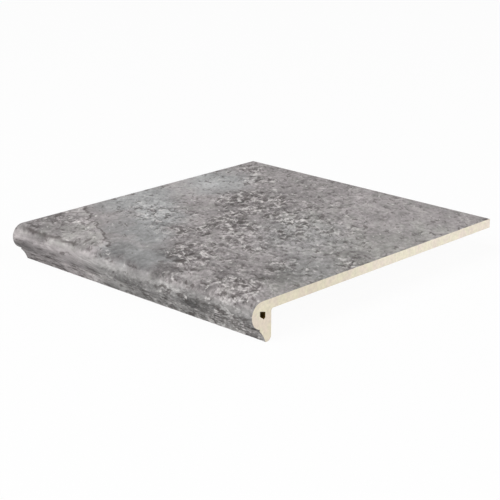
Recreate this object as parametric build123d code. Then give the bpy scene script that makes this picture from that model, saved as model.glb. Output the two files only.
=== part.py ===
from build123d import *

import os
from math import sqrt

# Extruded stoneware stair tread tile with a half-round nose, in millimetres.
# The clay is pushed through a die along X, so one section in the YZ plane gives the whole tile:
# a flat tread, a half-round nose at its front, a quirk and a cove under the nose, a rounded foot,
# and a core hole that runs right through the nose.  The tile is drawn with its tread level.
# Origin: centre of the footprint, at the level of the foot.  +Y runs from the nose to the back.

# Tread
TILE_LENGTH = 310.0  # along the nose, the way the clay is extruded
TILE_DEPTH = 326.5  # front of the nose to the back edge
SLAB_THICKNESS = 8.6
BACK_EDGE_RADIUS = 0.6  # eased edges at the back of the tread

# Nose and drop
DROP_HEIGHT = 36.2  # top of the tread to the foot
DROP_THICKNESS = 22.6  # front of the nose to the face that covers the riser
NOSE_HEIGHT = 23.8  # half-round, so its radius is half of this
QUIRK_LEAD = 2.9  # how far the quirk stands in front of the nose's axis
QUIRK_DROP = 1.4  # quirk below the lowest line of the nose
QUIRK_RADIUS = 0.6  # soft corner where the quirk turns into the cove
COVE_SAG = 0.9  # hollow of the cove, measured from its chord
INNER_RADIUS = 2.4  # corner between the tread's underside and the drop

# Foot
FOOT_WIDTH = 6.7
FOOT_FRONT_RADIUS = 1.0
FOOT_BACK_RADIUS = 4.8

# Core hole in the nose: upright sides, a roof that falls to the back, a keel-shaped floor
CORE_SETBACK = 0.55  # middle of the hole behind the nose's axis
CORE_WIDTH = 6.3
CORE_HEIGHT = 7.8
CORE_ROOF_FALL = 1.8
CORE_KEEL_RISE_FRONT = 3.2
CORE_KEEL_RISE_BACK = 1.2
CORE_KEEL_SETBACK = 1.8  # keel line in front of the hole's back wall
CORE_RADIUS = 0.7

# Places in the section, worked out from the sizes above
FRONT = -TILE_DEPTH / 2
BACK = TILE_DEPTH / 2
TOP = DROP_HEIGHT
UNDERSIDE = TOP - SLAB_THICKNESS
NOSE_RADIUS = NOSE_HEIGHT / 2
NOSE_AXIS = (FRONT + NOSE_RADIUS, TOP - NOSE_RADIUS)
DROP_BACK = FRONT + DROP_THICKNESS


def rounded(sketch, corner, radius):
    """Rounds the sketch's vertex that lies at the given corner."""
    vertex = sketch.vertices().sort_by_distance(corner)[0]
    return fillet(vertex, radius)


def tile_outline():
    """The closed outer section: tread, nose, quirk, cove and foot."""
    quirk_y = NOSE_AXIS[0] - QUIRK_LEAD
    nose_end = (quirk_y, NOSE_AXIS[1] - sqrt(NOSE_RADIUS**2 - QUIRK_LEAD**2))
    quirk_end = (quirk_y, TOP - NOSE_HEIGHT - QUIRK_DROP)
    foot_front = (DROP_BACK - FOOT_WIDTH, 0)
    foot_back = (DROP_BACK, 0)
    inner = (DROP_BACK, UNDERSIDE)
    back_low = (BACK, UNDERSIDE)
    back_high = (BACK, TOP)
    nose_top = (NOSE_AXIS[0], TOP)
    nose_front = (FRONT, NOSE_AXIS[1])

    edges = [
        Line(back_high, nose_top),
        ThreePointArc(nose_top, nose_front, nose_end),
        Line(nose_end, quirk_end),
        SagittaArc(quirk_end, foot_front, COVE_SAG),
        Polyline(foot_front, foot_back, inner, back_low, back_high),
    ]
    section = make_face(Curve() + edges)
    foot_back_radius = min(FOOT_BACK_RADIUS, FOOT_WIDTH - FOOT_FRONT_RADIUS)  # both share the foot
    corners = [
        (quirk_end, QUIRK_RADIUS),
        (foot_front, FOOT_FRONT_RADIUS),
        (foot_back, foot_back_radius),
        (inner, INNER_RADIUS),
        (back_low, BACK_EDGE_RADIUS),
        (back_high, BACK_EDGE_RADIUS),
    ]
    for corner, radius in corners:
        section = rounded(section, corner, radius)
    return section


def core_hole():
    """The five-sided hole through the nose, with rounded corners."""
    middle_y = NOSE_AXIS[0] + CORE_SETBACK
    front = middle_y - CORE_WIDTH / 2
    back = middle_y + CORE_WIDTH / 2
    top = NOSE_AXIS[1] + CORE_HEIGHT / 2
    bottom = NOSE_AXIS[1] - CORE_HEIGHT / 2
    hole = make_face(
        Polyline(
            (front, top),
            (back, top - CORE_ROOF_FALL),
            (back, bottom + CORE_KEEL_RISE_BACK),
            (back - CORE_KEEL_SETBACK, bottom),
            (front, bottom + CORE_KEEL_RISE_FRONT),
            close=True,
        )
    )
    return fillet(hole.vertices(), CORE_RADIUS)


def tread_tile():
    """The section pushed along X, half of the length each way."""
    section = Plane.YZ * (tile_outline() - core_hole())
    return extrude(section, amount=TILE_LENGTH / 2, both=True)


os.makedirs("parts", exist_ok=True)
export_step(tread_tile(), "parts/tread_tile.step")
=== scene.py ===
"""Dresses a fired stair tread tile: stone-look glaze on the tread and nose, bare clay elsewhere."""

import math
from types import SimpleNamespace

import bmesh
import bpy
from bpy.props import FloatProperty, FloatVectorProperty, PointerProperty
from mathutils import Matrix, Vector


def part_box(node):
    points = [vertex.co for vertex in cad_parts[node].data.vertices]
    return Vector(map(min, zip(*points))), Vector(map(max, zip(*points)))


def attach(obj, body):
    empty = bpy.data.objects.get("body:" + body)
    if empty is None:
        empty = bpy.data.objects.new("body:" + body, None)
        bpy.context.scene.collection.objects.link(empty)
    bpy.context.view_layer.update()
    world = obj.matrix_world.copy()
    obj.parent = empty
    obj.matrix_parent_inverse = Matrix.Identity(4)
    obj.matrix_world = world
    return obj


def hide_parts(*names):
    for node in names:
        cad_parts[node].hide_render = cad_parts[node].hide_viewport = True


bl_info = {
    "name": "Stair tread tile",
    "version": (1, 0, 0),
    "blender": (4, 5, 0),
    "location": "View3D > Sidebar > Tread tile",
    "description": "Makes a fired stair tread tile with a stone-look glaze, and a plain studio round it",
    "category": "Object",
}

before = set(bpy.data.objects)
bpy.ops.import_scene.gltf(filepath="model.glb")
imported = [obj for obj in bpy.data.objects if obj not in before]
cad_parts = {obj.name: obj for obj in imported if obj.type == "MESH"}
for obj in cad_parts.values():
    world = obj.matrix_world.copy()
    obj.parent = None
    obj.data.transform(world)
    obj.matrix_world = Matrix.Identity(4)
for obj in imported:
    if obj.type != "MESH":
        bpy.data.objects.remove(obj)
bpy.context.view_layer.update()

NODE = "tread_tile"
BODY = "root"
MM = 0.001

# Corners of the tile's box that the patterns are laid out from
LOW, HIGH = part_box(NODE)
FRONT = LOW[1]
TOP = HIGH[2]

# Material slots of the finished mesh
GLAZE, CLAY, CORE = range(3)

# Patches of the stone look: x from the middle of the tile, y from the front of the nose
# and radius, all in mm, then strength.  They are stretched along the tread's diagonal, and each is full
# within a share of its radius.
DIAGONAL = math.radians(45)
TREAD_STRETCH = Vector((0.7, 1, 0))
FULL_WITHIN = 0.3
ROUGH_GROUND = 0.28
ROUGH_COVE = 0.65
ROUGH_PATCHES = (
    (-130, 195, 70, -0.15),
    (-72, 68, 34, -0.45),
    (-38, 55, 34, -0.45),
    (0, 25, 30, -0.35),
    (-135, 96, 20, -0.4),
    (-100, 80, 24, -0.4),
    (-105, -4, 50, -0.35),
    (130, 205, 36, -0.14),
    (85, 295, 55, -0.10),
    (145, 290, 50, -0.06),
    (-48, 212, 42, 1.0),
    (-14, 150, 32, 1.0),
    (-18, 108, 20, 0.9),
    (28, 58, 34, 1.0),
    (40, 36, 20, 0.6),
    (85, 45, 24, 0.25),
    (118, 28, 32, 0.9),
    (112, 85, 22, 0.4),
    (18, 195, 30, 0.75),
    (-5, 250, 30, 0.4),
    (40, 115, 40, 0.42),
    (45, 160, 30, 0.45),
    (-100, 275, 26, 0.5),
    (-130, 300, 20, 0.6),
    (148, 135, 18, 0.6),
    (75, 190, 45, 0.35),
    (-122, 32, 45, 0.42),
    (70, -8, 26, 0.35),
    (130, -8, 32, 0.5),
    (-26, 90, 24, 0.3),
    (-85, 118, 40, 0.36),
)
TONE_PATCHES = (
    (-130, 215, 45, 0.14),
    (-140, 140, 40, 0.10),
    (-92, 124, 32, 0.11),
    (-78, 36, 18, 0.07),
    (10, 112, 12, 0.10),
    (42, 192, 28, 0.11),
    (90, 130, 22, 0.07),
    (75, 220, 24, 0.05),
    (60, 28, 14, 0.10),
    (-48, 220, 36, -0.09),
    (-48, 180, 18, -0.12),
    (-12, 150, 26, -0.13),
    (-20, 110, 18, -0.10),
    (20, 52, 28, -0.20),
    (90, 38, 20, -0.14),
    (115, 78, 22, -0.12),
    (46, 150, 16, -0.11),
    (-95, 272, 16, -0.10),
    (142, 148, 16, -0.07),
    (-30, 18, 20, -0.11),
    (5, 4, 22, -0.12),
    (-130, 6, 22, -0.13),
    (-153, 45, 18, -0.14),
    (-130, 252, 40, 0.06),
    (128, 268, 50, 0.06),
    (28, 285, 44, 0.05),
    (40, 50, 75, -0.05),
    (120, 85, 55, -0.06),
    (-20, 200, 70, -0.05),
    (-26, 285, 50, -0.05),
    (-75, 50, 34, -0.05),
    (26, 90, 24, 0.07),
    (132, 142, 28, -0.05),
)
COOL_PATCHES = (
    (-130, 240, 50, 1.0),
    (-130, 150, 45, 1.0),
    (-75, 112, 36, 1.0),
    (-38, 70, 30, 1.0),
    (5, 25, 28, 1.0),
    (60, 165, 60, 0.5),
    (128, 100, 36, 0.5),
    (-78, 72, 28, 0.6),
    (-30, 22, 24, 0.8),
    (-138, 112, 26, 0.7),
)
OLIVE_PATCHES = (
    (140, 165, 70, 0.8),
    (140, 75, 45, 0.8),
    (45, 190, 50, 0.6),
    (-90, 22, 36, 0.6),
    (145, 245, 40, 0.5),
)

# Patches of tone on the nose and cove: x, z from the tread, radius and strength, stretched along x.  The
# right part of the nose also has shares of cool and olive grey.
NOSE_COOL = 0.35
NOSE_OLIVE = 0.7
NOSE_STRETCH = Vector((0.4, 0, 1))
NOSE_PATCHES = (
    (82, -17, 11, -0.25),
    (15, -20, 7, -0.16),
    (-142, -19, 9, -0.13),
    (105, -7, 11, -0.14),
    (140, -7, 9, -0.09),
    (-145, -7, 9, 0.04),
    (-135, -2, 8, -0.06),
    (40, -1, 8, -0.18),
    (-78, -1, 7, 0.08),
    (-15, -1, 6, -0.07),
    (118, -1, 9, 0.16),
    (-8, -7, 9, 0.09),
    (-92, -6, 9, 0.05),
    (-22, -23, 11, 0.17),
    (-50, -28, 11, 0.17),
    (-15, -31, 7, 0.08),
    (52, -31, 7, -0.10),
    (138, -30, 9, 0.17),
    (110, -14, 7, -0.08),
    (46, -20, 8, 0.10),
    (-88, -25, 12, 0.13),
    (106, -24, 9, 0.13),
    (-46, -1, 7, 0.07),
    (-110, -1, 7, -0.05),
)

# Painted highlight and shade bands on the nose: heights from the tread where each starts and is full,
# strength
NOSE_LIGHT_SHADE_BANDS = (
    (-0.1, -0.8, -0.07),
    (-2.6, -4.0, 0.11),
    (-10.0, -13.0, -0.12),
    (-19.0, -21.0, 0.06),
    (-24.0, -26.0, 0.06),
)

# Marks of the stone, pits and flecks alike, are drawn out along the tread's diagonal.  On the nose they
# are finer: long streaks on its left part, and short marks that lean a little on the rest.
MARK_STRETCH = Vector((0.62, 1, 1))
STREAK_STRETCH = Vector((0.48, 1.7, 1.7))
NOSE_MARK_STRETCH = Vector((0.85, 1.7, 1.7))
NOSE_MARK_LEAN = math.radians(15)

# Where one part of the look gives way to the next, in mm: where it starts, and where it is complete
NOSE_FADE = (-3.0, -9.0)  # height from the tread, from the tread's look to the nose's
COVE_FADE = (-15.0, -23.0)  # height from the tread, from the nose to the rough cove
NOSE_PATCH_FADE = (26.0, 17.0)  # depth from the nose's front, into the nose's own patches
NOSE_MARK_FADE = (-75.0, -25.0)  # x, from the nose's streaks to its short marks
CLAY_SHADE_FADE = (190.0, 70.0)  # depth from the nose's front, from the slab's clay to the nose's

# Noises of the stone look: one over the size of their marks in mm, and how ragged these are.  The mottle
# stands for the glaze's own grain, which is under 1 mm and too fine to show, so it is drawn coarser.
DRIFT = {"Scale": 1 / 26, "Detail": 3.0}
DRIFT_REACH = Vector((46, 46, 0))
TINT = {"Scale": 1 / 12, "Detail": 3.0}
CLOUDS = {"Scale": 1 / 18, "Detail": 4.0}
CLUMPS = {"Scale": 1 / 14, "Detail": 2.0}
CRACK_WANDER = {"Scale": 1 / 14, "Detail": 2.0}
GRAIN = {"Scale": 1 / 8.5, "Detail": 4.0, "Roughness": 0.64, "Distortion": 0.5}
STREAKS = {"Scale": 1 / 5.8, "Detail": 4.0, "Roughness": 0.6}
VEINS = {"Scale": 1 / 16, "Detail": 3.0, "Distortion": 1.2}
SPARKLE = {"Scale": 1 / 6.0, "Detail": 3.0, "Roughness": 0.6, "Distortion": 0.4}
MOTTLE = {"Scale": 1 / 3.2, "Detail": 2.0}

# Noises of the bare clay, in the same way.  Its grit is under 1 mm and too fine to show, so it is drawn
# coarser, and so is the mottling of the painted shade in the core hole.
BLUSH = {"Scale": 1 / 12, "Detail": 3.0}
GRIT = {"Scale": 1 / 2.4, "Detail": 3.0}
CORE_SHADE_MOTTLE = {"Scale": 1 / 2, "Detail": 3.0}

# How much more the marks spread where the stone is rough, as a part of their noise
PIT_SPREAD = -0.12
FLECK_SPREAD = 0.16
SPECK_SPREAD = -0.10
FEWER_FLECKS = -0.08  # on the nose's left part

# How strongly the marks show, as shares of their colour in the glaze's
PIT_SHARE = 0.52
PIT_WALL_SHARE = 0.15
SPECK_SHARE = 0.62
FLECK_SHARE = 0.7
LIP_SHARE = 0.4  # of a fleck
HAIR_SHARE = 0.8  # of a pit
CRACK_SHARE = 0.8
SHORT_CRACK_SHARE = 0.8  # of the long one
# Painted highlight along the rim in front of the long crack
RIM_HIGHLIGHT_STRENGTH = 0.16  # added to the brightness along the long crack

# A pit's pale lip is found by looking this far behind each place, in mm
LIP_SHIFT = Vector((-2.8, 0, 0))

# Cracks, in mm: half of their width at the top and at the bottom, how far they fade at each end, and how
# far the rim's painted highlight and the low ground reach from the long one
CRACK_TOP = 2.4
CRACK_BOTTOM = 0.4
CRACK_END = 6.0
RIM_HIGHLIGHT_REACH = 16.0
LOW_GROUND_REACH = 24.0

# Painted shade on the cut ends near the nose: share of the clay's colour that is left there
CLAY_SHADE_AT_NOSE = (0.88, 0.87, 0.84, 1)

# Angles between faces: flat under the first, a hard edge over the second
FLAT_ANGLE = math.radians(0.1)
HARD_ANGLE = math.radians(30)

# Studio, in metres: half of the floor's side, and the softboxes' side and distance
FLOOR_REACH = 8.0
SOFTBOX_SIDE = 2.8
SOFTBOX_DISTANCE = 4.0
FLOOR_GLOW = 0.95  # share of the floor's look that no shadow reaches

# Long crack across the front left of the tread, and short ones in front of it: both ends and the width
# of the band that it wanders in, in mm
LONG_CRACK = (Vector((-155, 87, 0)), Vector((-36, 19, 0)), 20.0)
SHORT_CRACKS = (
    (Vector((-155, 52, 0)), Vector((-138, 74, 0)), 10.0),
    (Vector((-102, 46, 0)), Vector((-112, 64, 0)), 10.0),
    (Vector((-66, 12, 0)), Vector((-73, 26, 0)), 8.0),
    (Vector((-145, 6, 0)), Vector((-70, 7, 0)), 6.0),
)


def linear(hex_colour):
    """Linear RGB of an sRGB hex colour such as "#9A9C97"."""
    channels = [int(hex_colour[i : i + 2], 16) / 255 for i in (1, 3, 5)]
    return [c / 12.92 if c <= 0.04045 else ((c + 0.055) / 1.055) ** 2.4 for c in channels]


class TreadTileSizes(bpy.types.PropertyGroup):
    """Sizes of the tile's mesh and of its stone look."""

    cell: FloatProperty(
        name="Mesh cell",
        description="Side of the mesh's squares on the glaze",
        default=1.25 * MM,
        unit="LENGTH",
    )
    nose_radius: FloatProperty(
        name="Nose radius",
        description="Radius of the half-round nose",
        default=11.9 * MM,
        unit="LENGTH",
    )
    pit_depth: FloatProperty(
        name="Pit depth",
        description="Depth of the deepest pits in the glaze",
        default=0.25 * MM,
        unit="LENGTH",
    )
    ledge: FloatProperty(
        name="Ledge",
        description="Step of the tread's surface across the crack",
        default=0.25 * MM,
        unit="LENGTH",
    )


class TreadTileColours(bpy.types.PropertyGroup):
    """Colours of the glaze and of the fired clay."""

    warm_grey: FloatVectorProperty(
        name="Warm grey",
        description="Main colour of the glaze",
        subtype="COLOR",
        min=0,
        max=1,
        default=linear("#948F8F"),
    )
    cool_grey: FloatVectorProperty(
        name="Cool grey",
        description="Glaze in the smooth patches",
        subtype="COLOR",
        min=0,
        max=1,
        default=linear("#909090"),
    )
    olive_grey: FloatVectorProperty(
        name="Olive grey",
        description="Greener clouds in the glaze",
        subtype="COLOR",
        min=0,
        max=1,
        default=linear("#918F8C"),
    )
    pit: FloatVectorProperty(
        name="Pits",
        description="Glaze that gathers dark in pits and cracks",
        subtype="COLOR",
        min=0,
        max=1,
        default=linear("#443D3B"),
    )
    fleck: FloatVectorProperty(
        name="Flecks",
        description="Pale mineral flecks",
        subtype="COLOR",
        min=0,
        max=1,
        default=linear("#D8D4D2"),
    )
    clay: FloatVectorProperty(
        name="Clay",
        description="Bare fired clay",
        subtype="COLOR",
        min=0,
        max=1,
        default=linear("#EFE8D3"),
    )
    clay_blush: FloatVectorProperty(
        name="Clay blush",
        description="Warmer clouds in the bare clay",
        subtype="COLOR",
        min=0,
        max=1,
        default=linear("#EEE2D4"),
    )
    core: FloatVectorProperty(
        name="Core",
        description="Painted shade: dark brown clay inside the core hole",
        subtype="COLOR",
        min=0,
        max=1,
        default=linear("#6A5428"),
    )


class TreadStageSettings(bpy.types.PropertyGroup):
    """Camera and light of the plain studio."""

    azimuth: FloatProperty(
        name="Azimuth",
        description="Camera's turn round the tile, from straight in front",
        default=math.radians(43.80),
        subtype="ANGLE",
    )
    elevation: FloatProperty(
        name="Elevation",
        description="Camera's height above the horizon",
        default=math.radians(18.22),
        subtype="ANGLE",
    )
    distance: FloatProperty(
        name="Distance",
        description="Camera to the point that it looks at",
        default=1.31082,
        unit="LENGTH",
    )
    target: FloatVectorProperty(
        name="Target",
        description="Point on the tread that the camera looks at",
        default=(56.37 * MM, FRONT + 100.58 * MM, TOP),
        subtype="TRANSLATION",
        unit="LENGTH",
    )
    lens: FloatProperty(
        name="Lens",
        description="Focal length on a 36 mm sensor, in millimetres",
        default=106.4,
        unit="CAMERA",
    )
    sky: FloatProperty(
        name="Sky",
        description="Strength of the even light from all round",
        default=0.16,
    )
    key: FloatProperty(
        name="Key",
        description="Power of the softbox in front of the nose",
        default=165.0,
        unit="POWER",
    )
    fill: FloatProperty(
        name="Fill",
        description="Power of the softbox beside the cut end",
        default=92.0,
        unit="POWER",
    )
    floor: FloatVectorProperty(
        name="Floor",
        description="Colour that the floor throws back on the tile",
        subtype="COLOR",
        min=0,
        max=1,
        default=linear("#E1E1E1"),
    )


def add(tree, kind, inputs=(), out=0, **settings):
    """Adds a node with its settings, sets or links its inputs by name or number, gives one output.

    A Mix node's inputs go by number: 0 is the share, 2 and 3 are numbers, 4 and 5 vectors, 6 and 7 colours.
    """
    node = tree.nodes.new(kind)
    for name, value in settings.items():
        setattr(node, name, value)
    for key, value in dict(inputs).items():
        if isinstance(value, bpy.types.NodeSocket):
            tree.links.new(value, node.inputs[key])
        else:
            node.inputs[key].default_value = value
    return node.outputs[out] if node.outputs else node


def tread_spot(x, y):
    """A place on the tread, in mm, in the turned and stretched coordinates of its patches."""
    return (Matrix.Rotation(DIAGONAL, 3, "Z") @ Vector((x, y, 0))) * TREAD_STRETCH


def nose_spot(x, z):
    """A place on the nose, in mm, in the stretched coordinates of its patches."""
    return Vector((x, 0, z)) * NOSE_STRETCH


def patches(tree, layout, spots, spot_place):
    """Adds up soft round patches, each of them full near its middle and gone at its radius."""
    total = 0.0
    for first, second, radius, strength in spots:
        away = add(
            tree,
            "ShaderNodeVectorMath",
            {0: layout, 1: spot_place(first, second)},
            out="Value",
            operation="DISTANCE",
        )
        patch = add(
            tree,
            "ShaderNodeMapRange",
            {"Value": away, "From Min": radius, "From Max": radius * FULL_WITHIN, "To Max": strength},
            interpolation_type="SMOOTHSTEP",
        )
        total = add(tree, "ShaderNodeMath", {0: total, 1: patch}, operation="ADD")
    return total


def stone_places(tree, position):
    """Adds the places that the stone look is drawn from, and masks of the tile's parts.

    position is a place on the tile in metres.  The places are in mm: x from the middle of the tile,
    y from the front of the nose and z from the tread.
    """
    corner = add(
        tree, "ShaderNodeVectorMath", {0: position, 1: (0, FRONT, TOP)}, operation="SUBTRACT"
    )
    place = add(tree, "ShaderNodeVectorMath", {0: corner, "Scale": 1 / MM}, operation="SCALE")

    # Patches have ragged borders, because their places are pushed about by a slow noise first
    drift = add(tree, "ShaderNodeTexNoise", {"Vector": place, **DRIFT}, out="Color")
    drift = add(
        tree, "ShaderNodeVectorMath", {0: drift, 1: (0.5, 0.5, 0.5)}, operation="SUBTRACT"
    )
    drifted = add(
        tree, "ShaderNodeVectorMath", {0: drift, 1: DRIFT_REACH, 2: place}, operation="MULTIPLY_ADD"
    )
    turned = add(
        tree, "ShaderNodeVectorRotate", {"Vector": drifted, "Angle": DIAGONAL}, rotation_type="Z_AXIS"
    )
    layout = add(tree, "ShaderNodeVectorMath", {0: turned, 1: TREAD_STRETCH}, operation="MULTIPLY")

    # Masks of the nose with its cove, of the tread, and of the part right of the nose's streaks
    height = add(tree, "ShaderNodeSeparateXYZ", {0: place}, out="Z")
    nose = add(
        tree,
        "ShaderNodeMapRange",
        {"Value": height, "From Min": NOSE_FADE[0], "From Max": NOSE_FADE[1]},
        interpolation_type="SMOOTHSTEP",
    )
    tread = add(tree, "ShaderNodeMapRange", {"Value": nose, "To Min": 1.0, "To Max": 0.0})
    across = add(tree, "ShaderNodeSeparateXYZ", {0: drifted}, out="X")
    right = add(
        tree,
        "ShaderNodeMapRange",
        {"Value": across, "From Min": NOSE_MARK_FADE[0], "From Max": NOSE_MARK_FADE[1]},
        interpolation_type="SMOOTHSTEP",
    )

    # Places of the marks, slanted on the tread and drawn out along the nose
    slanted = add(
        tree, "ShaderNodeVectorRotate", {"Vector": place, "Angle": DIAGONAL}, rotation_type="Z_AXIS"
    )
    slanted = add(tree, "ShaderNodeVectorMath", {0: slanted, 1: MARK_STRETCH}, operation="MULTIPLY")
    streaky = add(tree, "ShaderNodeVectorMath", {0: place, 1: STREAK_STRETCH}, operation="MULTIPLY")
    leaning = add(
        tree,
        "ShaderNodeVectorRotate",
        {"Vector": place, "Angle": NOSE_MARK_LEAN},
        rotation_type="Y_AXIS",
    )
    leaning = add(
        tree, "ShaderNodeVectorMath", {0: leaning, 1: NOSE_MARK_STRETCH}, operation="MULTIPLY"
    )
    drawn = add(
        tree, "ShaderNodeMix", {0: right, 4: streaky, 5: leaning}, out=1, data_type="VECTOR"
    )
    return SimpleNamespace(
        place=place,
        drifted=drifted,
        layout=layout,
        height=height,
        nose=nose,
        tread=tread,
        right=right,
        slanted=slanted,
        drawn=drawn,
    )


def stone_tones(tree, at):
    """How light the glaze is, with painted highlight and shade on the nose, and its shares of cool and of
    olive grey.
    """
    tone = patches(tree, at.layout, TONE_PATCHES, tread_spot)
    cool = patches(tree, at.layout, COOL_PATCHES, tread_spot)
    cool = add(tree, "ShaderNodeClamp", {"Value": cool})
    tint = add(tree, "ShaderNodeTexNoise", {"Vector": at.slanted, **TINT})
    tint = add(
        tree,
        "ShaderNodeMapRange",
        {"Value": tint, "From Min": 0.3, "From Max": 0.7, "To Min": -0.5, "To Max": 0.7},
    )
    olive = patches(tree, at.layout, OLIVE_PATCHES, tread_spot)
    olive = add(tree, "ShaderNodeMath", {0: olive, 1: tint}, operation="ADD", use_clamp=True)

    # Nose and cove: a cooler and greener right part, patches of their own, and painted highlight and shade
    # bands along the tile
    nose_cool = add(tree, "ShaderNodeMath", {0: at.right, 1: NOSE_COOL}, operation="MULTIPLY")
    cool = add(tree, "ShaderNodeMix", {0: at.nose, 2: cool, 3: nose_cool})
    nose_olive = add(tree, "ShaderNodeMath", {0: at.right, 1: NOSE_OLIVE}, operation="MULTIPLY")
    olive = add(tree, "ShaderNodeMix", {0: at.nose, 2: olive, 3: nose_olive})
    along_nose = add(
        tree, "ShaderNodeVectorMath", {0: at.drifted, 1: NOSE_STRETCH}, operation="MULTIPLY"
    )
    nose_tone = patches(tree, along_nose, NOSE_PATCHES, nose_spot)
    depth = add(tree, "ShaderNodeSeparateXYZ", {0: at.place}, out="Y")
    front = add(
        tree,
        "ShaderNodeMapRange",
        {"Value": depth, "From Min": NOSE_PATCH_FADE[0], "From Max": NOSE_PATCH_FADE[1]},
        interpolation_type="SMOOTHSTEP",
    )
    tone = add(tree, "ShaderNodeMath", {0: nose_tone, 1: front, 2: tone}, operation="MULTIPLY_ADD")
    # Each band is painted highlight or shade, lighter or darker by how light falls on the nose's round
    for start, full, strength in NOSE_LIGHT_SHADE_BANDS:
        painted_band = add(
            tree,
            "ShaderNodeMapRange",
            {"Value": at.height, "From Min": start, "From Max": full, "To Max": strength},
            interpolation_type="SMOOTHSTEP",
        )
        tone = add(tree, "ShaderNodeMath", {0: painted_band, 1: tone}, operation="ADD")
    return tone, cool, olive


def stone_roughness(tree, at):
    """How rough the stone is, from 0 to 1, and the clumps that its rough patches break up into."""
    clump = add(tree, "ShaderNodeTexNoise", {"Vector": at.slanted, **CLUMPS})
    clump = add(
        tree,
        "ShaderNodeMapRange",
        {"Value": clump, "From Min": 0.35, "From Max": 0.60, "To Min": 0.3, "To Max": 1.15},
    )
    rough = patches(tree, at.layout, ROUGH_PATCHES, tread_spot)
    ground = add(
        tree,
        "ShaderNodeMapRange",
        {
            "Value": at.height,
            "From Min": COVE_FADE[0],
            "From Max": COVE_FADE[1],
            "To Min": ROUGH_GROUND,
            "To Max": ROUGH_COVE,
        },
    )
    rough = add(tree, "ShaderNodeMath", {0: rough, 1: ground}, operation="ADD")
    rough = add(tree, "ShaderNodeMath", {0: rough, 1: clump}, operation="MULTIPLY", use_clamp=True)
    return rough, clump


def crack_line(tree, place, start, end, sway):
    """A crack that wanders from start to end across the tread.

    Gives how far a place lies behind the crack, in mm, a mask that is 1 between its two ends, and
    one that is nearly 1 in the crack itself.
    """
    along = (end - start).normalized()
    across = Vector((-along.y, along.x, 0))
    wander = add(tree, "ShaderNodeTexNoise", {"Vector": place, **CRACK_WANDER})
    wander = add(
        tree,
        "ShaderNodeMath",
        {0: wander, 1: sway, 2: -sway / 2 - across.dot(start)},
        operation="MULTIPLY_ADD",
    )
    level = add(
        tree, "ShaderNodeVectorMath", {0: place, 1: across}, out="Value", operation="DOT_PRODUCT"
    )
    past = add(tree, "ShaderNodeMath", {0: level, 1: wander}, operation="ADD")
    near = add(tree, "ShaderNodeMath", {0: past}, operation="ABSOLUTE")
    line = add(
        tree,
        "ShaderNodeMapRange",
        {"Value": near, "From Min": CRACK_TOP, "From Max": CRACK_BOTTOM, "To Max": CRACK_SHARE},
        interpolation_type="SMOOTHSTEP",
    )
    reach = add(
        tree, "ShaderNodeVectorMath", {0: place, 1: along}, out="Value", operation="DOT_PRODUCT"
    )
    first = along.dot(start)
    last = along.dot(end)
    span = 1.0
    for tip, inward in ((first, CRACK_END), (last, -CRACK_END)):
        fade = add(
            tree,
            "ShaderNodeMapRange",
            {"Value": reach, "From Min": tip - inward, "From Max": tip + inward},
        )
        span = add(tree, "ShaderNodeMath", {0: span, 1: fade}, operation="MULTIPLY")
    line = add(tree, "ShaderNodeMath", {0: line, 1: span}, operation="MULTIPLY")
    return past, span, line


def stone_cracks(tree, at, clump):
    """The cracks, the painted highlight on the rim in front of the long one and the low ground behind it,
    as masks.
    """
    past, span, crack = crack_line(tree, at.place, *LONG_CRACK)
    for short_crack in SHORT_CRACKS:
        line = crack_line(tree, at.place, *short_crack)[2]
        line = add(tree, "ShaderNodeMath", {0: line, 1: SHORT_CRACK_SHARE}, operation="MULTIPLY")
        crack = add(tree, "ShaderNodeMath", {0: crack, 1: line}, operation="MAXIMUM")

    # They are fainter between the clumps and end at the nose
    gaps = add(tree, "ShaderNodeMath", {0: clump, 1: 0.5, 2: 0.5}, operation="MULTIPLY_ADD")
    for mask in (gaps, at.tread):
        crack = add(tree, "ShaderNodeMath", {0: crack, 1: mask}, operation="MULTIPLY", use_clamp=True)

    # In front of the long crack the stone stands a little higher, with a painted highlight along its rim
    before = add(
        tree,
        "ShaderNodeMapRange",
        {"Value": past, "From Min": 0.8, "From Max": -0.8},
        interpolation_type="SMOOTHSTEP",
    )
    rim_highlight = add(
        tree,
        "ShaderNodeMapRange",
        {"Value": past, "From Min": -RIM_HIGHLIGHT_REACH, "From Max": -2.0},
        interpolation_type="SMOOTHSTEP",
    )
    rim_highlight = add(tree, "ShaderNodeMath", {0: rim_highlight, 1: before}, operation="MULTIPLY")
    low_ground = add(
        tree,
        "ShaderNodeMapRange",
        {"Value": past, "From Min": LOW_GROUND_REACH, "From Max": 0.0},
        interpolation_type="SMOOTHSTEP",
    )
    low_ground = add(tree, "ShaderNodeMath", {0: low_ground, 1: before}, operation="SUBTRACT")
    span = add(tree, "ShaderNodeMath", {0: span, 1: at.tread}, operation="MULTIPLY")
    rim_highlight = add(tree, "ShaderNodeMath", {0: rim_highlight, 1: span}, operation="MULTIPLY")
    low_ground = add(tree, "ShaderNodeMath", {0: low_ground, 1: span}, operation="MULTIPLY")
    return crack, rim_highlight, low_ground


def pit_depths(tree, grain, rough):
    """Pits where the grain runs low, wider where the stone is rough: 0 outside, 1 at the bottom."""
    low = add(tree, "ShaderNodeMath", {0: rough, 1: PIT_SPREAD, 2: grain}, operation="MULTIPLY_ADD")
    return add(
        tree,
        "ShaderNodeMapRange",
        {"Value": low, "From Min": 0.39, "From Max": 0.30},
        interpolation_type="SMOOTHSTEP",
    )


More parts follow.
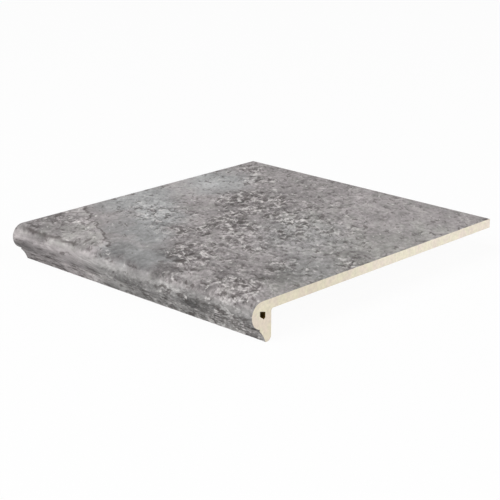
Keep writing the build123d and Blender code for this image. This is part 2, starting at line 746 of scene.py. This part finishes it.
def stone_pits(tree, at, rough):
    """The stone's grain, and its pits with the hair lines of rough stone."""
    grain = add(tree, "ShaderNodeTexNoise", {"Vector": at.slanted, **GRAIN})
    streaks = add(tree, "ShaderNodeTexNoise", {"Vector": at.drawn, **STREAKS})
    grain = add(tree, "ShaderNodeMix", {0: at.nose, 2: grain, 3: streaks})
    pits = pit_depths(tree, grain, rough)
    vein = add(tree, "ShaderNodeTexNoise", {"Vector": at.slanted, **VEINS})
    vein = add(tree, "ShaderNodeMath", {0: vein, 1: 0.5}, operation="SUBTRACT")
    vein = add(tree, "ShaderNodeMath", {0: vein}, operation="ABSOLUTE")
    hairs = add(
        tree,
        "ShaderNodeMapRange",
        {"Value": vein, "From Min": 0.035, "From Max": 0.008, "To Max": HAIR_SHARE},
        interpolation_type="SMOOTHSTEP",
    )
    hairs = add(tree, "ShaderNodeMath", {0: hairs, 1: rough}, operation="MULTIPLY")
    pits = add(tree, "ShaderNodeMath", {0: pits, 1: hairs}, operation="MAXIMUM")
    return grain, pits


def stone_flecks(tree, at, rough):
    """Pale flecks and dark specks: many where the stone is rough, few on the nose's left part."""
    sparkle = add(tree, "ShaderNodeTexNoise", {"Vector": at.slanted, **SPARKLE})
    nose_sparkle = add(tree, "ShaderNodeTexNoise", {"Vector": at.drawn, **SPARKLE})
    sparkle = add(tree, "ShaderNodeMix", {0: at.nose, 2: sparkle, 3: nose_sparkle})
    high = add(
        tree, "ShaderNodeMath", {0: rough, 1: FLECK_SPREAD, 2: sparkle}, operation="MULTIPLY_ADD"
    )
    fewer = add(
        tree, "ShaderNodeMapRange", {"Value": at.right, "To Min": FEWER_FLECKS, "To Max": 0.0}
    )
    high = add(tree, "ShaderNodeMath", {0: at.nose, 1: fewer, 2: high}, operation="MULTIPLY_ADD")
    flecks = add(
        tree,
        "ShaderNodeMapRange",
        {"Value": high, "From Min": 0.65, "From Max": 0.77},
        interpolation_type="SMOOTHSTEP",
    )
    low = add(
        tree, "ShaderNodeMath", {0: rough, 1: SPECK_SPREAD, 2: sparkle}, operation="MULTIPLY_ADD"
    )
    specks = add(
        tree,
        "ShaderNodeMapRange",
        {"Value": low, "From Min": 0.40, "From Max": 0.31},
        interpolation_type="SMOOTHSTEP",
    )
    return flecks, specks


def new_material(name):
    """A material with an empty node tree."""
    material = bpy.data.materials.new(name)
    material.use_nodes = True
    material.node_tree.nodes.clear()
    return material, material.node_tree


def glaze_material(colours):
    """Matt glaze on stoneware, printed and fired to look like weathered stone.

    It shows clouds of warm, cool and olive grey, dark pits, pale flecks and a few cracks, and hardly
    shines.
    """
    material, tree = new_material("Matt stone-look glaze")
    at = stone_places(tree, add(tree, "ShaderNodeTexCoord", out="Object"))
    shade, cool, olive = stone_tones(tree, at)
    rough, clump = stone_roughness(tree, at)
    crack, rim_highlight, _ = stone_cracks(tree, at, clump)
    grain, pits = stone_pits(tree, at, rough)
    flecks, specks = stone_flecks(tree, at, rough)

    # Ground colour: warm grey with greener clouds, cooler in the smooth patches
    base = (*colours.warm_grey, 1)
    for share, colour in ((olive, colours.olive_grey), (cool, colours.cool_grey)):
        base = add(
            tree, "ShaderNodeMix", {0: share, 6: base, 7: (*colour, 1)}, out=2, data_type="RGBA"
        )

    # Printed light and shadow: each pit has a pale lip in front of it, as if lit from the back
    shifted = add(tree, "ShaderNodeVectorMath", {0: at.slanted, 1: LIP_SHIFT}, operation="ADD")
    grain_behind = add(tree, "ShaderNodeTexNoise", {"Vector": shifted, **GRAIN})
    pits_behind = pit_depths(tree, grain_behind, rough)
    lips = add(
        tree, "ShaderNodeMath", {0: pits_behind, 1: pits}, operation="SUBTRACT", use_clamp=True
    )
    walls = add(
        tree, "ShaderNodeMath", {0: pits, 1: pits_behind}, operation="SUBTRACT", use_clamp=True
    )
    strong = add(tree, "ShaderNodeMath", {0: rough, 1: 1.6}, operation="MULTIPLY", use_clamp=True)
    for share in (at.tread, strong, LIP_SHARE):
        lips = add(tree, "ShaderNodeMath", {0: lips, 1: share}, operation="MULTIPLY")
    slope = add(tree, "ShaderNodeMath", {0: grain, 1: grain_behind}, operation="SUBTRACT")
    slope = add(tree, "ShaderNodeMath", {0: slope, 1: 0.5}, operation="ADD")
    slope = add(tree, "ShaderNodeMix", {0: at.nose, 2: slope, 3: 0.5})

    # Clouds, grain, mottling and slopes lighten and darken the ground, more so where the stone is rough
    cloud = add(tree, "ShaderNodeTexNoise", {"Vector": at.slanted, **CLOUDS})
    mottle = add(tree, "ShaderNodeTexNoise", {"Vector": at.slanted, **MOTTLE})
    nose_mottle = add(tree, "ShaderNodeTexNoise", {"Vector": at.drawn, **MOTTLE})
    mottle = add(tree, "ShaderNodeMix", {0: at.nose, 2: mottle, 3: nose_mottle})
    swings = (
        (cloud, 0.35, 0.8),
        (grain, 0.28, 1.0),
        (mottle, 0.32, 0.85),
        (slope, 0.15, 0.5),
    )
    for source, plain, extra in swings:
        gain = add(tree, "ShaderNodeMath", {0: rough, 1: extra, 2: plain}, operation="MULTIPLY_ADD")
        swing = add(tree, "ShaderNodeMath", {0: source, 1: 0.5}, operation="SUBTRACT")
        shade = add(
            tree, "ShaderNodeMath", {0: swing, 1: gain, 2: shade}, operation="MULTIPLY_ADD"
        )
    # Painted highlight along the raised rim in front of the long crack
    shade = add(tree, "ShaderNodeMath", {0: rim_highlight, 1: RIM_HIGHLIGHT_STRENGTH, 2: shade}, operation="MULTIPLY_ADD")

    # Shade is a share of the seen brightness, so the linear colour is scaled by its power
    shade = add(tree, "ShaderNodeMath", {0: shade, 1: 1.0}, operation="ADD")
    shade = add(tree, "ShaderNodeMath", {0: shade, 1: 2.2}, operation="POWER")
    base = add(tree, "ShaderNodeVectorMath", {0: base, "Scale": shade}, operation="SCALE")

    # Flecks and lips are laid over it, then the dark marks
    pale = add(tree, "ShaderNodeMath", {0: lips, 1: flecks}, operation="MAXIMUM")
    pale = add(tree, "ShaderNodeMath", {0: pale, 1: FLECK_SHARE}, operation="MULTIPLY")
    dark = add(tree, "ShaderNodeMath", {0: pits, 1: PIT_SHARE}, operation="MULTIPLY")
    dark = add(
        tree, "ShaderNodeMath", {0: walls, 1: PIT_WALL_SHARE, 2: dark}, operation="MULTIPLY_ADD"
    )
    specks = add(tree, "ShaderNodeMath", {0: specks, 1: SPECK_SHARE}, operation="MULTIPLY")
    for mark in (specks, crack):
        dark = add(tree, "ShaderNodeMath", {0: dark, 1: mark}, operation="MAXIMUM")
    for share, colour in ((pale, colours.fleck), (dark, colours.pit)):
        base = add(
            tree, "ShaderNodeMix", {0: share, 6: base, 7: (*colour, 1)}, out=2, data_type="RGBA"
        )

    dullness = add(tree, "ShaderNodeMapRange", {"Value": grain, "To Min": 0.62, "To Max": 0.78})
    bump = add(
        tree, "ShaderNodeBump", {"Height": mottle, "Strength": 0.5, "Distance": 0.12 * MM}
    )
    shader = add(
        tree,
        "ShaderNodeBsdfPrincipled",
        {
            "Base Color": base,
            "Roughness": dullness,
            "IOR": 1.5,
            "Specular IOR Level": 0.25,
            "Normal": bump,
        },
    )
    add(tree, "ShaderNodeOutputMaterial", {"Surface": shader})
    return material


def clay_material(colours):
    """Bare stoneware, cut with a wire and fired: cream, dull and finely grained, with warm clouds."""
    material, tree = new_material("Cream stoneware biscuit")
    position = add(tree, "ShaderNodeTexCoord", out="Object")
    place = add(tree, "ShaderNodeVectorMath", {0: position, "Scale": 1 / MM}, operation="SCALE")
    blush = add(tree, "ShaderNodeTexNoise", {"Vector": place, **BLUSH})
    blush = add(
        tree,
        "ShaderNodeMapRange",
        {"Value": blush, "From Min": 0.38, "From Max": 0.66},
        interpolation_type="SMOOTHSTEP",
    )
    base = add(
        tree,
        "ShaderNodeMix",
        {0: blush, 6: (*colours.clay, 1), 7: (*colours.clay_blush, 1)},
        out=2,
        data_type="RGBA",
    )
    grit = add(tree, "ShaderNodeTexNoise", {"Vector": place, **GRIT})
    shade = add(tree, "ShaderNodeMapRange", {"Value": grit, "To Min": 0.79, "To Max": 1.19})
    base = add(tree, "ShaderNodeVectorMath", {0: base, "Scale": shade}, operation="SCALE")
    # Painted shade: the cut ends darken towards the nose, where less light falls on them
    depth = add(tree, "ShaderNodeSeparateXYZ", {0: place}, out="Y")
    nose_end_shade = add(
        tree,
        "ShaderNodeMapRange",
        {
            "Value": depth,
            "From Min": FRONT / MM + CLAY_SHADE_FADE[0],
            "From Max": FRONT / MM + CLAY_SHADE_FADE[1],
        },
        interpolation_type="SMOOTHSTEP",
    )
    base = add(
        tree,
        "ShaderNodeMix",
        {0: nose_end_shade, 6: base, 7: CLAY_SHADE_AT_NOSE},
        out=2,
        data_type="RGBA",
        blend_type="MULTIPLY",
    )
    bump = add(tree, "ShaderNodeBump", {"Height": grit, "Strength": 0.5, "Distance": 0.15 * MM})
    shader = add(
        tree,
        "ShaderNodeBsdfPrincipled",
        {"Base Color": base, "Roughness": 0.9, "Specular IOR Level": 0.2, "Normal": bump},
    )
    add(tree, "ShaderNodeOutputMaterial", {"Surface": shader})
    return material


def core_shade_material(colours):
    """The core hole's wall: the same clay, coloured dark brown as painted shade in the hollow."""
    material, tree = new_material("Core hole painted shade")
    position = add(tree, "ShaderNodeTexCoord", out="Object")
    place = add(tree, "ShaderNodeVectorMath", {0: position, "Scale": 1 / MM}, operation="SCALE")
    # Mottled dark brown: painted shade for the hollow's darkness
    core_mottle = add(tree, "ShaderNodeTexNoise", {"Vector": place, **CORE_SHADE_MOTTLE})
    shade = add(tree, "ShaderNodeMapRange", {"Value": core_mottle, "To Min": 0.6, "To Max": 1.4})
    base = add(
        tree, "ShaderNodeVectorMath", {0: tuple(colours.core), "Scale": shade}, operation="SCALE"
    )
    shader = add(
        tree,
        "ShaderNodeBsdfPrincipled",
        {"Base Color": base, "Roughness": 0.95, "Specular IOR Level": 0.1},
    )
    add(tree, "ShaderNodeOutputMaterial", {"Surface": shader})
    return material


def face_kind(face, nose_radius):
    """Which of the three surfaces a face belongs to."""
    middle = face.calc_center_median()
    axis = Vector((middle.x, FRONT + nose_radius, TOP - nose_radius))
    if abs(face.normal.x) > 0.9:
        return CLAY
    if (middle - axis).length < nose_radius * 0.6:
        return CORE
    glazed_top = middle.z > TOP - 1 * MM and face.normal.z > 0.05
    glazed_front = middle.y < axis.y + nose_radius and face.normal.y < -0.05
    return GLAZE if glazed_top or glazed_front else CLAY


def tile_mesh(sizes):
    """The tile's CAD shape with its glazed faces cut into small squares, ready for relief."""
    mesh = bpy.data.meshes.new("fired_tread")
    bm = bmesh.new()
    bm.from_mesh(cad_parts[NODE].data)
    bmesh.ops.remove_doubles(bm, verts=bm.verts, dist=0.001 * MM)
    diagonals = [
        edge
        for edge in bm.edges
        if edge.calc_face_angle(math.pi) < FLAT_ANGLE
        and abs(edge.link_faces[0].normal.x) < 0.9
    ]
    bmesh.ops.dissolve_edges(bm, edges=diagonals, use_verts=False)
    bm.normal_update()
    for face in bm.faces:
        face.material_index = face_kind(face, sizes.nose_radius)

    # Columns along the tile on all of the glaze, then rows on the level tread
    lengthwise = {
        edge
        for face in bm.faces
        if face.material_index == GLAZE
        for edge in face.edges
        if abs(edge.verts[0].co.x - edge.verts[1].co.x) > sizes.cell
    }
    columns = round((HIGH[0] - LOW[0]) / sizes.cell)
    bmesh.ops.subdivide_edges(bm, edges=list(lengthwise), cuts=columns - 1, use_grid_fill=True)
    crosswise = {
        edge
        for face in bm.faces
        if face.material_index == GLAZE and face.normal.z > 0.999
        for edge in face.edges
        if abs(edge.verts[0].co.y - edge.verts[1].co.y) > 10 * sizes.cell
    }
    if not crosswise:
        raise RuntimeError("The tile has no level glazed face to cut into squares")
    rows = round(max(edge.calc_length() for edge in crosswise) / sizes.cell)
    bmesh.ops.subdivide_edges(bm, edges=list(crosswise), cuts=rows - 1, use_grid_fill=True)
    bm.normal_update()

    # Only points that are glazed all round take relief, so the cut edges stay straight
    cover = bm.verts.layers.float.new("glazed")
    for vert in bm.verts:
        vert[cover] = float(all(face.material_index == GLAZE for face in vert.link_faces))
    for face in bm.faces:
        face.smooth = face.material_index == GLAZE or max(map(abs, face.normal)) < 0.9999
    for edge in bm.edges:
        edge.smooth = edge.calc_face_angle(math.pi) < HARD_ANGLE
    bm.to_mesh(mesh)
    bm.free()
    return mesh


def relief_nodes(sizes):
    """Geometry nodes that sink the glaze in pits and cracks, and behind the long crack."""
    tree = bpy.data.node_groups.new("Glaze relief", "GeometryNodeTree")
    tree.interface.new_socket("Geometry", in_out="INPUT", socket_type="NodeSocketGeometry")
    tree.interface.new_socket("Geometry", in_out="OUTPUT", socket_type="NodeSocketGeometry")
    shape = add(tree, "NodeGroupInput")
    at = stone_places(tree, add(tree, "GeometryNodeInputPosition"))
    rough, clump = stone_roughness(tree, at)
    crack, _, low_ground = stone_cracks(tree, at, clump)
    _, pits = stone_pits(tree, at, rough)
    pits = add(tree, "ShaderNodeMath", {0: pits, 1: crack}, operation="MAXIMUM")
    sunk = add(tree, "ShaderNodeMath", {0: pits, 1: -sizes.pit_depth}, operation="MULTIPLY")
    sunk = add(
        tree, "ShaderNodeMath", {0: low_ground, 1: -sizes.ledge, 2: sunk}, operation="MULTIPLY_ADD"
    )
    cover = add(tree, "GeometryNodeInputNamedAttribute", {"Name": "glazed"}, data_type="FLOAT")
    sunk = add(tree, "ShaderNodeMath", {0: sunk, 1: cover}, operation="MULTIPLY")
    normal = add(tree, "GeometryNodeInputNormal")
    outward = add(tree, "ShaderNodeVectorMath", {0: normal, 1: (0, 1, 1)}, operation="MULTIPLY")
    outward = add(tree, "ShaderNodeVectorMath", {0: outward}, operation="NORMALIZE")
    offset = add(tree, "ShaderNodeVectorMath", {0: outward, "Scale": sunk}, operation="SCALE")
    moved = add(tree, "GeometryNodeSetPosition", {"Geometry": shape, "Offset": offset})
    add(tree, "NodeGroupOutput", {0: moved})
    return tree


class OBJECT_OT_make_tread_tile(bpy.types.Operator):
    """Make the fired tile with its relief, glaze and bare clay"""

    bl_idname = "object.make_tread_tile"
    bl_label = "Make tread tile"

    def execute(self, context):
        sizes = context.scene.tread_tile_sizes
        colours = context.scene.tread_tile_colours
        smooth = tile_mesh(sizes)
        for make in (glaze_material, clay_material, core_shade_material):
            smooth.materials.append(make(colours))
        tile = bpy.data.objects.new("fired_tread", smooth)
        context.scene.collection.objects.link(tile)
        relief = tile.modifiers.new("Glaze relief", "NODES")
        relief.node_group = relief_nodes(sizes)
        shaped = tile.evaluated_get(context.evaluated_depsgraph_get())
        tile.data = bpy.data.meshes.new_from_object(shaped)
        tile.modifiers.clear()
        bpy.data.meshes.remove(smooth)
        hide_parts(NODE)
        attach(tile, BODY)
        return {"FINISHED"}


def seen_directly(tree):
    """A socket that is 1 for rays that show a surface as it is, and 0 for rays that light others."""
    seen = 0.0
    for kind in ("Is Camera Ray", "Is Glossy Ray", "Is Transmission Ray"):
        path = add(tree, "ShaderNodeLightPath", out=kind)
        seen = add(tree, "ShaderNodeMath", {0: seen, 1: path}, operation="MAXIMUM")
    return seen


def floor_material(stage):
    """White paper floor: plain white to the eye, with a weak shadow, and a soft bounce for the tile."""
    material, tree = new_material("White paper floor")
    share = add(
        tree, "ShaderNodeMath", {0: seen_directly(tree), 1: FLOOR_GLOW}, operation="MULTIPLY"
    )
    paper = add(tree, "ShaderNodeBsdfDiffuse", {"Color": (*stage.floor, 1)})
    white = add(tree, "ShaderNodeEmission", {"Strength": 1.0})
    mixed = add(tree, "ShaderNodeMixShader", {0: share, 1: paper, 2: white})
    # Seen from below, the floor is clear, so that the underside shows
    below = add(tree, "ShaderNodeNewGeometry", out="Backfacing")
    clear = add(tree, "ShaderNodeBsdfTransparent")
    surface = add(tree, "ShaderNodeMixShader", {0: below, 1: mixed, 2: clear})
    add(tree, "ShaderNodeOutputMaterial", {"Surface": surface})
    return material


def direction(azimuth, elevation):
    """Unit vector from the tile to a place round it, azimuth 0 straight in front of the nose."""
    level = math.cos(elevation)
    return Vector((math.sin(azimuth) * level, -math.cos(azimuth) * level, math.sin(elevation)))


def aimed(context, name, data, place, target):
    """Links a new lamp or camera that stands at a place and faces a target."""
    item = bpy.data.objects.new(name, data)
    item.location = place
    item.rotation_mode = "QUATERNION"
    item.rotation_quaternion = (target - place).to_track_quat("-Z", "Y")
    context.scene.collection.objects.link(item)
    return item


class SCENE_OT_make_tread_stage(bpy.types.Operator):
    """Make the plain floor, the soft light and the camera"""

    bl_idname = "scene.make_tread_stage"
    bl_label = "Make tread stage"

    def execute(self, context):
        scene = context.scene
        stage = scene.tread_stage

        bm = bmesh.new()
        bmesh.ops.create_grid(bm, x_segments=1, y_segments=1, size=FLOOR_REACH)
        sheet = bpy.data.meshes.new("paper_floor")
        bm.to_mesh(sheet)
        bm.free()
        sheet.materials.append(floor_material(stage))
        floor = bpy.data.objects.new("paper_floor", sheet)
        scene.collection.objects.link(floor)

        world = bpy.data.worlds.new("Even white studio")
        world.use_nodes = True
        tree = world.node_tree
        tree.nodes.clear()
        strength = add(
            tree,
            "ShaderNodeMapRange",
            {"Value": seen_directly(tree), "To Min": stage.sky, "To Max": 1.0},
        )
        light = add(tree, "ShaderNodeBackground", {"Color": (1, 1, 1, 1), "Strength": strength})
        add(tree, "ShaderNodeOutputWorld", {"Surface": light})
        scene.world = world

        lamps = (
            ("key_softbox", stage.key, math.radians(-8), math.radians(43)),
            ("fill_softbox", stage.fill, math.radians(98), math.radians(28)),
        )
        for name, power, azimuth, elevation in lamps:
            lamp = bpy.data.lights.new(name, "AREA")
            lamp.energy = power
            lamp.size = SOFTBOX_SIDE
            place = direction(azimuth, elevation) * SOFTBOX_DISTANCE
            aimed(context, name, lamp, place, Vector((0, 0, 0)))

        camera = bpy.data.cameras.new("photo_camera")
        camera.sensor_width = 36.0
        camera.lens = stage.lens
        target = Vector(stage.target)
        place = target + direction(stage.azimuth, stage.elevation) * stage.distance
        scene.camera = aimed(context, "photo_camera", camera, place, target)
        scene.view_settings.view_transform = "Standard"
        return {"FINISHED"}


class VIEW3D_PT_tread_tile(bpy.types.Panel):
    """Lists the tile's sizes and colours and the operators that make it"""

    bl_label = "Tread tile"
    bl_space_type = "VIEW_3D"
    bl_region_type = "UI"
    bl_category = "Tread tile"

    def draw(self, context):
        scene = context.scene
        groups = (
            ("Sizes", scene.tread_tile_sizes),
            ("Colours", scene.tread_tile_colours),
            ("Stage", scene.tread_stage),
        )
        for title, settings in groups:
            column = self.layout.column(align=True)
            column.label(text=title)
            for name in settings.__annotations__:
                column.prop(settings, name)
        self.layout.operator(OBJECT_OT_make_tread_tile.bl_idname)
        self.layout.operator(SCENE_OT_make_tread_stage.bl_idname)


CLASSES = (
    TreadTileSizes,
    TreadTileColours,
    TreadStageSettings,
    OBJECT_OT_make_tread_tile,
    SCENE_OT_make_tread_stage,
    VIEW3D_PT_tread_tile,
)


def register():
    """Registers the classes and gives each scene their settings."""
    for cls in CLASSES:
        bpy.utils.register_class(cls)
    bpy.types.Scene.tread_tile_sizes = PointerProperty(type=TreadTileSizes)
    bpy.types.Scene.tread_tile_colours = PointerProperty(type=TreadTileColours)
    bpy.types.Scene.tread_stage = PointerProperty(type=TreadStageSettings)


def unregister():
    """Takes the settings and the classes away again."""
    del bpy.types.Scene.tread_tile_sizes
    del bpy.types.Scene.tread_tile_colours
    del bpy.types.Scene.tread_stage
    for cls in reversed(CLASSES):
        bpy.utils.unregister_class(cls)


def main():
    """Makes the tile and its stage."""
    register()
    bpy.ops.object.make_tread_tile()
    bpy.ops.scene.make_tread_stage()


if __name__ == "__main__":
    main()
